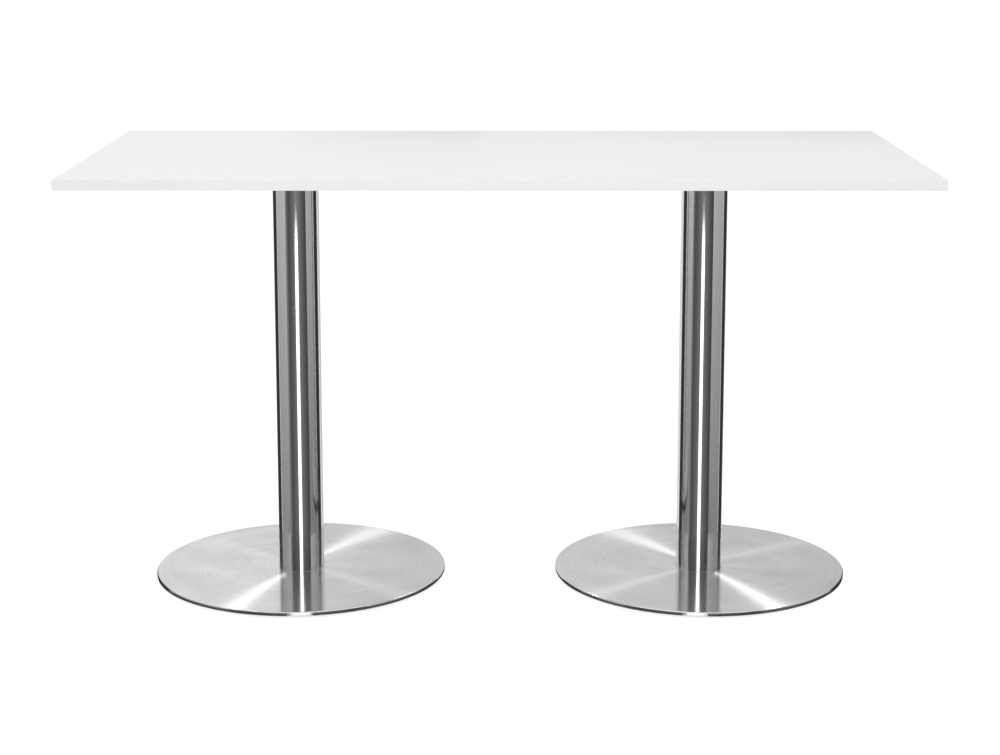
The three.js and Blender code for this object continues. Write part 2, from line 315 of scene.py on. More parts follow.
stainlessLooks = {
    "disc": {"light": (0.75, 0.748, 0.742), "dark": (0.55, 0.548, 0.542), "linesPerMetre": 900, "arc": 2.2,
             "fine": 0.25, "coarse": 0.25, "cloud": 0.5,
             "smooth": 0.17, "rough": 0.24, "stretch": 1.0, "bump": 0.02, "depth": 0.2 * mm},
    "tube": {"light": (0.67, 0.668, 0.662), "dark": (0.58, 0.578, 0.572), "linesPerMetre": 1400, "arc": 1.1,
             "fine": 0.5, "coarse": 0.3, "cloud": 0.2,
             "smooth": 0.055, "rough": 0.09, "stretch": 0.6, "bump": 0.002, "depth": 0.2 * mm},
}


# Stainless brushed round its axis. Gloss is drawn out across the lines, along the profile's own direction.
def makeStainless(name, look):
    material, tree, shader = newMaterial(name)
    uv = addNode(tree, "ShaderNodeUVMap", uv_map="turned").outputs[0]
    lines = placeGroup(tree, turnedLines, {
        "UV": uv, "Lines per metre": look["linesPerMetre"], "Arc": look["arc"]})
    tone = sumShares(tree, (lines["Fine"], look["fine"]), (lines["Coarse"], look["coarse"]),
                     (lines["Cloud"], look["cloud"]))
    tree.links.new(blendColours(tree, tone, look["dark"], look["light"]), shader.inputs["Base Color"])
    tree.links.new(spread(tree, tone, look["rough"], look["smooth"]), shader.inputs["Roughness"])
    shader.inputs["Metallic"].default_value = 1
    shader.inputs["Anisotropic"].default_value = look["stretch"]
    tangent = addNode(tree, "ShaderNodeTangent", direction_type="UV_MAP", uv_map="turned")
    tree.links.new(tangent.outputs[0], shader.inputs["Tangent"])
    joinBump(tree, shader, lines["Fine"], look)
    return material


grainLooks = {
    "whiteLaminate": {"light": (0.88, 0.88, 0.878), "dark": (0.864, 0.864, 0.862), "grain": 700, "cloud": 2.5,
                      "smooth": 0.27, "rough": 0.3, "bump": 0.06, "depth": 0.2 * mm, "pits": 0.0, "metal": 0},
    "whiteEdge": {"light": (0.835, 0.838, 0.84), "dark": (0.815, 0.818, 0.82), "grain": 900, "cloud": 9,
                  "smooth": 0.34, "rough": 0.45, "bump": 0.05, "depth": 0.2 * mm, "pits": 0.0, "metal": 0},
    "chipBoard": {"light": (0.60, 0.46, 0.30), "dark": (0.33, 0.23, 0.13), "grain": 260, "cloud": 60,
                  "smooth": 0.75, "rough": 0.95, "bump": 0.5, "depth": 0.8 * mm, "pits": 0.7, "metal": 0},
    "platePrimer": {"light": (0.052, 0.053, 0.056), "dark": (0.040, 0.041, 0.044), "grain": 420, "cloud": 26,
                    "smooth": 0.42, "rough": 0.62, "bump": 0.12, "depth": 0.4 * mm, "pits": 0.2, "metal": 0},
    "castBlack": {"light": (0.040, 0.041, 0.043), "dark": (0.020, 0.020, 0.022), "grain": 480, "cloud": 20,
                  "smooth": 0.38, "rough": 0.60, "bump": 0.35, "depth": 0.5 * mm, "pits": 0.8, "metal": 0},
    "zincPlate": {"light": (0.66, 0.67, 0.68), "dark": (0.47, 0.48, 0.50), "grain": 800, "cloud": 90,
                  "smooth": 0.26, "rough": 0.44, "bump": 0.06, "depth": 0.1 * mm, "pits": 0.2, "metal": 1},
    "blackNylon": {"light": (0.034, 0.034, 0.035), "dark": (0.018, 0.018, 0.019), "grain": 1300, "cloud": 70,
                   "smooth": 0.48, "rough": 0.66, "bump": 0.2, "depth": 0.2 * mm, "pits": 0.5, "metal": 0},
}
toneLook = {"cloudShare": 0.65, "darkest": 0.35, "lightest": 0.65}


# A surface with grain: mostly the slow cloud shades its colour and gloss, grain and pits give its relief.
def makeGrained(name, look):
    material, tree, shader = newMaterial(name)
    where = addNode(tree, "ShaderNodeTexCoord").outputs["Object"]
    surface = placeGroup(tree, surfaceGrain, {
        "Place": where, "Grain per metre": look["grain"], "Clouds per metre": look["cloud"]})
    tone = sumShares(tree, (surface["Cloud"], toneLook["cloudShare"]),
                     (surface["Grain"], 1 - toneLook["cloudShare"]))
    tone = addNode(tree, "ShaderNodeMapRange", {
        "Value": tone, "From Min": toneLook["darkest"], "From Max": toneLook["lightest"]}).outputs[0]
    relief = sumShares(tree, (surface["Grain"], 1 - look["pits"]), (surface["Pits"], look["pits"]))
    tree.links.new(blendColours(tree, tone, look["dark"], look["light"]), shader.inputs["Base Color"])
    tree.links.new(spread(tree, tone, look["rough"], look["smooth"]), shader.inputs["Roughness"])
    shader.inputs["Metallic"].default_value = look["metal"]
    joinBump(tree, shader, relief, look)
    return material


grained = {name: makeGrained(name, look) for name, look in grainLooks.items()}
finishes = {
    "disc": {"material": makeStainless("brushedDisc", stainlessLooks["disc"]), "slot": "brushed_stainless"},
    "tube": {"material": makeStainless("brushedTube", stainlessLooks["tube"]), "slot": "brushed_stainless"},
    "laminate": {"material": grained["whiteLaminate"], "slot": "white_laminate"},
    "edge": {"material": grained["whiteEdge"], "slot": "white_edge_band"},
    "board": {"material": grained["chipBoard"], "slot": "board_core"},
    "plate": {"material": grained["platePrimer"], "slot": "ballast_plate"},
    "cast": {"material": grained["castBlack"], "slot": "cast_spider"},
    "zinc": {"material": grained["zincPlate"], "slot": "zinc_steel"},
    "nylon": {"material": grained["blackNylon"], "slot": "black_nylon"},
}
slotFinish = {finish["slot"]: finish["material"] for finish in finishes.values()}
print("finishes made:", len(finishes))

# CAD nodes that keep their shape take the finish of their slot.
for subpart in frame["record"]["subparts"]:
    node = nodes[subpart["node"]]
    node.data.materials.clear()
    node.data.materials.append(slotFinish[subpart["material_slot"]])


bandLook = {
    "arris": 1.5 * mm, "arrisSteps": 6, "inset": 0.4 * mm, "endSteps": 6, "stations": (0.25, 0.5, 0.75),
    "quarterTurns": {"front": 0, "back": 2, "left": 3, "right": 1},
}


# A band is its section carried along a straight edge. Near the end of a long band the depth is drawn in
# on a quarter circle, which rounds the upright corner of the top.
def makeBand(name, quarterTurns):
    look = bandLook
    low, high = boxCorners(name)
    lengthways = quarterTurns % 2
    crossways = 1 - lengthways
    length = high[lengthways] - low[lengthways]
    depth = high[crossways] - low[crossways]
    distance = max(abs(low[crossways]), abs(high[crossways])) - depth
    outline = [(0, high[2]), (depth, high[2]), (depth, low[2]), (0, low[2])]
    section = roundCorners(outline, [0, look["arris"], look["arris"], 0], look["arrisSteps"])
    section = closeProfile(section, look["inset"])[:-1]
    quarter = np.linspace(0, np.pi / 2, look["endSteps"] + 1)
    run = look["arris"] * (1 - np.cos(quarter))
    drawnIn = look["arris"] * (1 - np.sin(quarter)) if lengthways == 0 else np.zeros(len(quarter))
    share = 1 - drawnIn / depth
    middle = length * np.array(look["stations"])
    along = np.concatenate([[0], run, middle, length - run[::-1], [length]])
    share = np.concatenate([share[:1], share, np.ones(len(middle)), share[::-1], share[:1]])
    across = np.repeat(section[None], len(along), axis=0)
    across[..., 0] *= share[:, None]
    across[[0, -1]] = across[[0, -1]].mean(axis=1, keepdims=True)    # the two ends close on a middle point
    x = along[:, None] - length / 2
    y = -distance - across[..., 0]
    points = turnAbout(x, y, across[..., 1], quarterTurns * math.pi / 2)
    placePiece(gridMesh(name + "_rounded", points, along), finishes["edge"], "table", [name])


for edge, quarterTurns in bandLook["quarterTurns"].items():
    makeBand(edge + "_edge_band", quarterTurns)
print("edge bands made")


columnLook = {"wall": 2 * mm, "edgeRadius": 0.35 * mm, "edgeSteps": 3, "segments": 160, "inset": 1.5 * mm}


# A tube: its wall section, with broken edges, turned round the column's axis.
def makeColumn(side):
    look = columnLook
    name = side + "_column"
    column = roundNode(name)
    bore = column.radius - look["wall"]
    edge = look["edgeRadius"]
    profile = roundedProfile([
        (bore, column.bottom, edge),
        (column.radius, column.bottom, edge),
        (column.radius, column.top, edge),
        (bore, column.top, edge),
    ], look["edgeSteps"], look["inset"])
    turnedPiece(name + "_tube", profile, column.axis, look["segments"], finishes["tube"], "table", [name])


discLook = {
    "sheet": 1.25 * mm, "rimRadius": 2.6 * mm, "rollRadius": 2 * mm, "rollReturn": 12 * mm,
    "lipRound": 0.3 * mm, "crownDrop": 0.22 * mm, "crownWidth": 16 * mm, "crownRadius": 60 * mm,
    "grooveGap": 0.1 * mm, "grooveWidth": 1.6 * mm, "grooveDepth": 0.45 * mm, "grooveSlope": 0.48 * mm,
    "grooveEdge": 0.3 * mm, "grooveFillet": 0.2 * mm, "grooveCorner": 0.1 * mm,
    "arcSteps": 6, "segments": 256, "inset": 1.5 * mm,
}


# A spun cover: its sheet section turned round the axis. The face falls a little towards the rim, and a fine
# groove runs round the foot of the column.
def makeDisc(side):
    look = discLook
    name = side + "_base_cover"
    cover = roundNode(name)
    column = roundNode(side + "_column")
    outer, bottom, top = cover.radius, cover.bottom, cover.top
    bore = column.radius - columnLook["wall"]
    inner = outer - look["sheet"]
    lip = outer - look["rollReturn"]
    under = top - look["sheet"]
    roll = bottom + look["sheet"]
    crown = outer - look["rimRadius"] - look["crownWidth"]
    grooveIn = column.radius + look["grooveGap"]
    grooveOut = grooveIn + look["grooveWidth"]
    grooveFloor = top - look["grooveDepth"]
    profile = roundedProfile([
        (bore, under, 0),
        (inner, under, look["rimRadius"] - look["sheet"]),
        (inner, roll, look["rollRadius"] - look["sheet"]),
        (lip, roll, look["lipRound"]),
        (lip, bottom, look["lipRound"]),
        (outer, bottom, look["rollRadius"]),
        (outer, top - look["crownDrop"], look["rimRadius"]),
        (crown, top, look["crownRadius"]),
        (grooveOut, top, look["grooveEdge"]),
        (grooveOut - look["grooveSlope"], grooveFloor, look["grooveFillet"]),
        (grooveIn, grooveFloor, look["grooveCorner"]),
        (grooveIn, top, look["grooveCorner"]),
        (bore, top, 0),
    ], look["arcSteps"], look["inset"])
    turnedPiece(side + "_disc_cover", profile, cover.axis, look["segments"],
                finishes["disc"], "table", [name])


for side in sides:
    makeColumn(side)
    makeDisc(side)
print("columns and floor discs made")


spiderLook = {
    "socketGap": 0.3 * mm, "socketWall": 6 * mm, "draft": 2 * mm, "web": 8 * mm, "recess": 32 * mm,
    "bore": 8.5 * mm, "edgeBreak": 0.5 * mm, "socketRound": 1 * mm, "footRound": 2 * mm,
    "recessEdge": 1.5 * mm, "recessFillet": 3 * mm, "hubArcSteps": 4, "hubInset": 1 * mm, "hubSegments": 96,
    "arms": 4, "armReach": 232 * mm, "armRoot": 50 * mm, "rootWidth": 58 * mm, "tipWidth": 40 * mm,
    "flange": 8 * mm, "ribThickness": 10 * mm, "ribDepth": 24 * mm, "ribStop": 34 * mm, "ribDraft": 0.86,
    "ribShare": 0.6, "topRound": 0.8 * mm, "edgeRadius": 2.6 * mm, "fillet": 6 * mm, "hair": 0.01 * mm,
    "ribSteps": 40, "tipSteps": 6, "capSteps": 16, "capTurn": 0.498 * math.pi, "armArcSteps": 5,
    "voxel": 1.6 * mm, "smoothing": 5, "smoothShare": 0.5, "sharpAngle": 180,
}


# An arm is a T-section carried outwards. The flange tapers and ends in a half circle; the rib's depth falls
# as (1 - t)(1 - t / 2) from the hub to where it runs out, and is next to nothing inside the hub.
def armPoints(axis, turn, top, ribStart):
    look = spiderLook
    tip = look["tipWidth"] / 2
    ribEnd = look["armReach"] - look["ribStop"]
    along = np.concatenate([
        [look["armRoot"], ribStart - look["hair"]],
        np.linspace(ribStart, ribEnd, look["ribSteps"]),
        np.linspace(ribEnd, look["armReach"], look["tipSteps"])[1:-1],
        look["armReach"] + tip * np.sin(np.linspace(0, look["capTurn"], look["capSteps"])),
    ])
    taper = np.clip((along - look["armRoot"]) / (look["armReach"] - look["armRoot"]), 0, 1)
    half = (look["rootWidth"] + (look["tipWidth"] - look["rootWidth"]) * taper) / 2
    half *= np.sqrt(np.clip(1 - (np.maximum(along - look["armReach"], 0) / tip) ** 2, 0, 1))
    t = np.clip((along - ribStart) / (ribEnd - ribStart), 0, 1)
    depth = np.where(along < ribStart, 0, look["ribDepth"] * (1 - t) * (1 - t / 2)) + look["hair"]
    rib = np.minimum(look["ribThickness"] / 2, look["ribShare"] * half)
    thin = rib * look["ribDraft"]
    high = np.full(len(along), top)
    low = high - look["flange"]
    outline = np.stack([np.stack(pair, -1) for pair in (
        (half, high), (-half, high), (-half, low), (-rib, low), (-thin, low - depth),
        (thin, low - depth), (rib, low), (half, low))], 1)
    upper, edge, fillet = look["topRound"], look["edgeRadius"], look["fillet"]
    radii = [upper, upper, edge, fillet, edge, edge, fillet, edge]
    section = roundCorners(outline, radii, look["armArcSteps"])
    section[[0, -1]] = section[[0, -1]].mean(axis=1, keepdims=True)
    return turnAbout(along[:, None], section[..., 0], section[..., 1], turn, axis), along


# The casting: hub and arms are grown together on a grid of small cells and then eased, which leaves a fillet
# in every corner. The hub is its section turned round the column's axis.
def makeSpider(side):
    look = spiderLook
    name = side + "_spider"
    low, high = boxCorners(name)
    column = roundNode(side + "_column")
    socket = column.radius + look["socketGap"]
    outer = socket + look["socketWall"]
    floor = column.top + look["web"]
    profile = roundedProfile([
        (look["bore"], column.top, look["edgeBreak"]),
        (socket, column.top, look["socketRound"]),
        (socket, low[2], look["socketRound"]),
        (outer, low[2], look["footRound"]),
        (outer + look["draft"], high[2], look["edgeBreak"]),
        (look["recess"] + look["draft"], high[2], look["recessEdge"]),
        (look["recess"], floor, look["recessFillet"]),
        (look["bore"], floor, look["edgeBreak"]),
    ], look["hubArcSteps"], look["hubInset"])
    grids = [(turnedPoints(profile, column.axis, look["hubSegments"]), runLength(profile))]
    ribStart = socket + look["socketWall"] / 2
    turns = (np.arange(look["arms"]) + 0.5) * 2 * math.pi / look["arms"]
    grids += [armPoints(column.axis, turn, high[2], ribStart) for turn in turns]
    work = bmesh.new()
    for points, along in grids:
        part = gridMesh("spiderPart", points, along)
        work.from_mesh(part)
        bpy.data.meshes.remove(part)
    blankMesh = bpy.data.meshes.new("spiderBlank")
    work.to_mesh(blankMesh)
    work.free()
    blank = bpy.data.objects.new("spiderBlank", blankMesh)
    bpy.context.scene.collection.objects.link(blank)
    grown = blank.modifiers.new("grown", "REMESH")
    grown.mode = "VOXEL"
    grown.voxel_size = look["voxel"]
    eased = blank.modifiers.new("eased", "SMOOTH")
    eased.iterations = look["smoothing"]
    eased.factor = look["smoothShare"]
    cast = bpy.data.meshes.new_from_object(blank.evaluated_get(bpy.context.evaluated_depsgraph_get()))
    bpy.data.objects.remove(blank)
    bpy.data.meshes.remove(blankMesh)
    cast.name = name + "_casting"
    placePiece(cast, finishes["cast"], "table", [name], look["sharpAngle"])


screwLook = {
    "across": 13 * mm, "headHeight": 5 * mm, "faceRadius": 5.7 * mm, "chamfer": 0.9 * mm, "hair": 0.1 * mm,
    "dishRadius": 3.5 * mm, "dishEdge": 4.1 * mm, "dishDepth": 0.5 * mm,
    "flange": 1.5 * mm, "flangeRadius": 8.5 * mm, "coneRadius": 8.1 * mm, "coneRise": 0.6 * mm,
    "rimRise": 0.96 * mm, "shank": 4 * mm, "segments": 48,
}


# A flange-head screw turned about its axis, head down. In the head the radius is the smaller of the turned
# one, which gives the cone that breaks the corners, and the hexagon's.
def makeScrew(name):
    look = screwLook
    screw = roundNode(name)
    seat = screw.bottom + look["headHeight"]
    corner = look["across"] / math.sqrt(3)
    headRows = [
        (0, screw.bottom + look["dishDepth"]),
        (look["dishRadius"], screw.bottom + look["dishDepth"]),
        (look["dishEdge"], screw.bottom),
        (look["faceRadius"], screw.bottom),
        (corner, screw.bottom + look["chamfer"]),
        (corner, screw.bottom + look["headHeight"] / 2),
        (corner, seat - look["hair"]),
    ]
    shankRows = [
        (corner, seat),
        (look["coneRadius"], seat + look["coneRise"]),
        (look["flangeRadius"], seat + look["rimRise"]),
        (look["flangeRadius"], seat + look["flange"]),
        (look["shank"], seat + look["flange"]),
        (look["shank"], screw.top),
        (0, screw.top),
    ]
    shape = hexShape(look["across"], len(headRows))
    turnedPiece(name + "_turned", headRows + shankRows, screw.axis, look["segments"],
                finishes["zinc"], "table", [name], shape)


rodLook = {
    "headRadius": 15.25 * mm, "headBreak": 0.3 * mm, "rim": 0.5 * mm, "rodRadius": 8 * mm,
    "endBreak": 1 * mm, "keyAcross": 10 * mm, "keyDepth": 5 * mm, "keyBreak": 0.7 * mm, "segments": 60,
}


# A countersunk rod turned about its axis, with a hexagon socket sunk into its head.
def makeRod(side):
    look = rodLook
    name = side + "_tie_rod"
    rod = roundNode(name)
    cone = look["headRadius"] - look["rodRadius"]
    socketRows, socketEdge = keySocket(look, rod.bottom)
    rodRows = [
        socketEdge,
        (look["headRadius"] - look["headBreak"], rod.bottom),
        (look["headRadius"], rod.bottom + look["headBreak"]),
        (look["headRadius"], rod.bottom + look["rim"]),
        (look["rodRadius"], rod.bottom + look["rim"] + cone),
        (look["rodRadius"], rod.top - look["endBreak"]),
        (look["rodRadius"] - look["endBreak"], rod.top),
        (0, rod.top),
    ]
    shape = hexShape(look["keyAcross"], len(socketRows))
    turnedPiece(name + "_turned", socketRows + rodRows, rod.axis, look["segments"],
                finishes["zinc"], "table", [name], shape)


padLook = {
    "radius": 18 * mm, "sole": 2 * mm, "lip": 1.25 * mm, "pocket": 8.5 * mm, "neck": 4.5 * mm,
    "keyHole": 3.5 * mm, "soleRound": 1.3 * mm, "arris": 0.6 * mm, "holeRound": 0.4 * mm,
    "neckRound": 0.3 * mm, "pocketRound": 0.2 * mm, "treads": (7 * mm, 9.5 * mm, 12 * mm),
    "treadWidth": 1.2 * mm, "treadDepth": 0.35 * mm, "treadSlope": 0.2 * mm, "treadRound": 0.15 * mm,
    "arcSteps": 4, "inset": 0.5 * mm, "segments": 72,
}


# A moulded pad: its section with rounded corners turned round the foot's axis, with ring treads in the sole.
def makePad(name, body):
    look = padLook
    pad = roundNode(name)
    width, depth, slope = look["treadWidth"], look["treadDepth"], look["treadSlope"]
    dip = [(0, 0), (slope, depth), (width - slope, depth), (width, 0)]
    treads = [(r + out, pad.bottom + up, look["treadRound"]) for r in look["treads"] for out, up in dip]
    lipUnder = pad.top - look["lip"]
    soleTop = pad.bottom + look["sole"]
    profile = roundedProfile([
        (look["keyHole"], pad.bottom, look["holeRound"]),
        *treads,
        (look["radius"], pad.bottom, look["soleRound"]),
        (look["radius"], pad.top, look["arris"]),
        (look["neck"], pad.top, look["neckRound"]),
        (look["neck"], lipUnder, look["pocketRound"]),
        (look["pocket"], lipUnder, look["pocketRound"]),
        (look["pocket"], soleTop, look["pocketRound"]),
        (look["keyHole"], soleTop, look["pocketRound"]),
    ], look["arcSteps"], look["inset"])
    turnedPiece(name + "_moulded", profile, pad.axis, look["segments"], finishes["nylon"], body, [name])


stemLook = {
    "flangeRadius": 8 * mm, "flange": 1.75 * mm, "flangeBreak": 0.25 * mm, "shank": 4 * mm, "tip": 0.75 * mm,
    "keyAcross": 4 * mm, "keyDepth": 3 * mm, "keyBreak": 0.3 * mm, "pitch": 1.25 * mm, "rowsPerPitch": 12,
    "threadStart": 0.15 * mm, "threadDepth": 0.55 * mm, "flankSlope": 2.6, "crestFlat": 0.15, "segments": 36,
}


# A stem turned about its axis. In the shank the radius falls to the thread's root with the distance from
# the crest of a helix that climbs one pitch a turn; in the key socket it is the hexagon's.
def makeStem(name, body):
    look = stemLook
    stem = roundNode(name)
    flange, cut = look["flangeRadius"], look["flangeBreak"]
    shoulder = stem.bottom + look["flange"]
    socketRows, socketEdge = keySocket(look, stem.bottom)
    flangeRows = [
        socketEdge,
        (flange - cut, stem.bottom),
        (flange, stem.bottom + cut),
        (flange, shoulder - cut),
        (flange - cut, shoulder),
        (look["shank"], shoulder),
    ]
    step = look["pitch"] / look["rowsPerPitch"]
    climb = np.arange(shoulder + look["threadStart"], stem.top - look["tip"], step)
    threadRows = [(look["shank"], height) for height in climb]
    tipRows = [(look["shank"] - look["tip"], stem.top), (0, stem.top)]
    profile = np.array(socketRows + flangeRows + threadRows + tipRows)
    row = np.arange(len(profile))[:, None]
    firstThread = len(socketRows) + len(flangeRows)
    threaded = (row >= firstThread) & (row < firstThread + len(threadRows))
    keyShape = hexShape(look["keyAcross"], len(socketRows))

    def shape(radius, angle):
        phase = (profile[:, 1:] / look["pitch"] - angle / (2 * np.pi)) % 1
        fromCrest = look["flankSlope"] * np.abs(phase - 0.5) - look["crestFlat"]
        groove = look["threadDepth"] * np.clip(fromCrest, 0, 1)
        return keyShape(np.where(threaded, radius - groove, radius), angle)

    turnedPiece(name + "_threaded", profile, stem.axis, look["segments"],
                finishes["zinc"], body, [name], shape)


for side in sides:
    makeSpider(side)
    makeRod(side)
    for corner in corners:
        makeScrew(f"{side}_{corner}_spider_screw")
        makePad(f"{side}_{corner}_levelling_pad", f"{side}_{corner}_pad")
        makeStem(f"{side}_{corner}_levelling_stem", f"{side}_{corner}_stem")
print("spiders, screws, rods and feet made")


viewLook = {"lens": 75.851, "sensor": 36, "distance": 5.15492, "height": 1.69825, "aside": 0.01035,
            "tiltDown": 0.17557, "turn": 0.00204, "shiftY": -0.11}


def makeCamera():
    data = bpy.data.cameras.new("photoView")
    data.lens = viewLook["lens"]
    data.sensor_width = viewLook["sensor"]
    data.shift_y = viewLook["shiftY"]
    camera = bpy.data.objects.new("photoView", data)
    camera.location = (viewLook["aside"], -viewLook["distance"], viewLook["height"])
    camera.rotation_euler = (math.pi / 2 - viewLook["tiltDown"], 0, viewLook["turn"])
    bpy.context.scene.collection.objects.link(camera)
    bpy.context.scene.camera = camera


makeCamera()

# surround lights the object, backdrop is what camera and metal see of it. The floor has its own colour in
# the light that it sends back; where it is seen it glows almost white, and floorShade lets shadows show.
studioLook = {"surround": 0.88, "backdrop": 1.0, "floorColour": 0.9, "floorGlow": 0.68, "floorShade": 0.5,
              "floorHalf": 40}


# Share of rays that see the white surround: camera, glossy and transmission rays.
def seenDirectly(tree):
    path = addNode(tree, "ShaderNodeLightPath").outputs
    seen = calc(tree, "MAXIMUM", path["Is Camera Ray"], path["Is Glossy Ray"])
    return calc(tree, "MAXIMUM", seen, path["Is Transmission Ray"])


def mixShaders(tree, share, first, second):
    return addNode(tree, "ShaderNodeMixShader", {0: share, 1: first.outputs[0], 2: second.outputs[0]})


def makeSurround():
    world = bpy.data.worlds.new("studio")
    bpy.context.scene.world = world
    world.use_nodes = True
    tree = world.node_tree
    tree.nodes.clear()
    soft = addNode(tree, "ShaderNodeBackground", {"Color": grey(1), "Strength": studioLook["surround"]})
    white = addNode(tree, "ShaderNodeBackground", {"Color": grey(1), "Strength": studioLook["backdrop"]})
    mixed = mixShaders(tree, seenDirectly(tree), soft, white)
    addNode(tree, "ShaderNodeOutputWorld", {"Surface": mixed.outputs[0]})


def bareMaterial(name):
    material = bpy.data.materials.new(name)
    material.use_nodes = True
    material.node_tree.nodes.clear()
    return material, material.node_tree


def studioSheet(name, points, material, faces=None):
    mesh = bpy.data.meshes.new(name)
    mesh.from_pydata(points, [], faces or [tuple(range(len(points)))])
    mesh.materials.append(material)
    sheet = bpy.data.objects.new(name, mesh)
    bpy.context.scene.collection.objects.link(sheet)
    return sheet


def makeFloor():
    material, tree = bareMaterial("paleFloor")
    plain = addNode(tree, "ShaderNodeBsdfDiffuse", {"Color": grey(studioLook["floorColour"])})
    faint = addNode(tree, "ShaderNodeBsdfDiffuse", {"Color": grey(studioLook["floorShade"])})
    glow = addNode(tree, "ShaderNodeEmission", {"Color": grey(1), "Strength": studioLook["floorGlow"]})
    seen = addNode(tree, "ShaderNodeAddShader", {0: faint.outputs[0], 1: glow.outputs[0]})
    mixed = mixShaders(tree, seenDirectly(tree), plain, seen)
    addNode(tree, "ShaderNodeOutputMaterial", {"Surface": mixed.outputs[0]})
    half = studioLook["floorHalf"]
    points = [(-half, -half, 0), (half, -half, 0), (half, half, 0), (-half, half, 0)]
    floor = studioSheet("floor", points, material)
    floor.visible_glossy = False


makeSurround()
makeFloor()

boxLook = {"place": (0, -5.2, 2.7), "aim": (0, 0, 1.0), "width": 2.0, "height": 0.8, "power": 44}


# A soft box over the camera lights the front edge of the top.
def makeFrontBox():
    data = bpy.data.lights.new("frontBox", "AREA")
    data.shape = "RECTANGLE"
    data.size = boxLook["width"]
    data.size_y = boxLook["height"]
    data.energy = boxLook["power"]
    lamp = bpy.data.objects.new("frontBox", data)
    aim = np.array(boxLook["aim"], float) - boxLook["place"]
    lamp.location = boxLook["place"]
    lamp.rotation_euler = (math.atan2(math.hypot(aim[0], aim[1]), -aim[2]), 0, math.atan2(-aim[0], aim[1]))
    lamp.visible_camera = lamp.visible_glossy = False
    bpy.context.scene.collection.objects.link(lamp)


makeFrontBox()

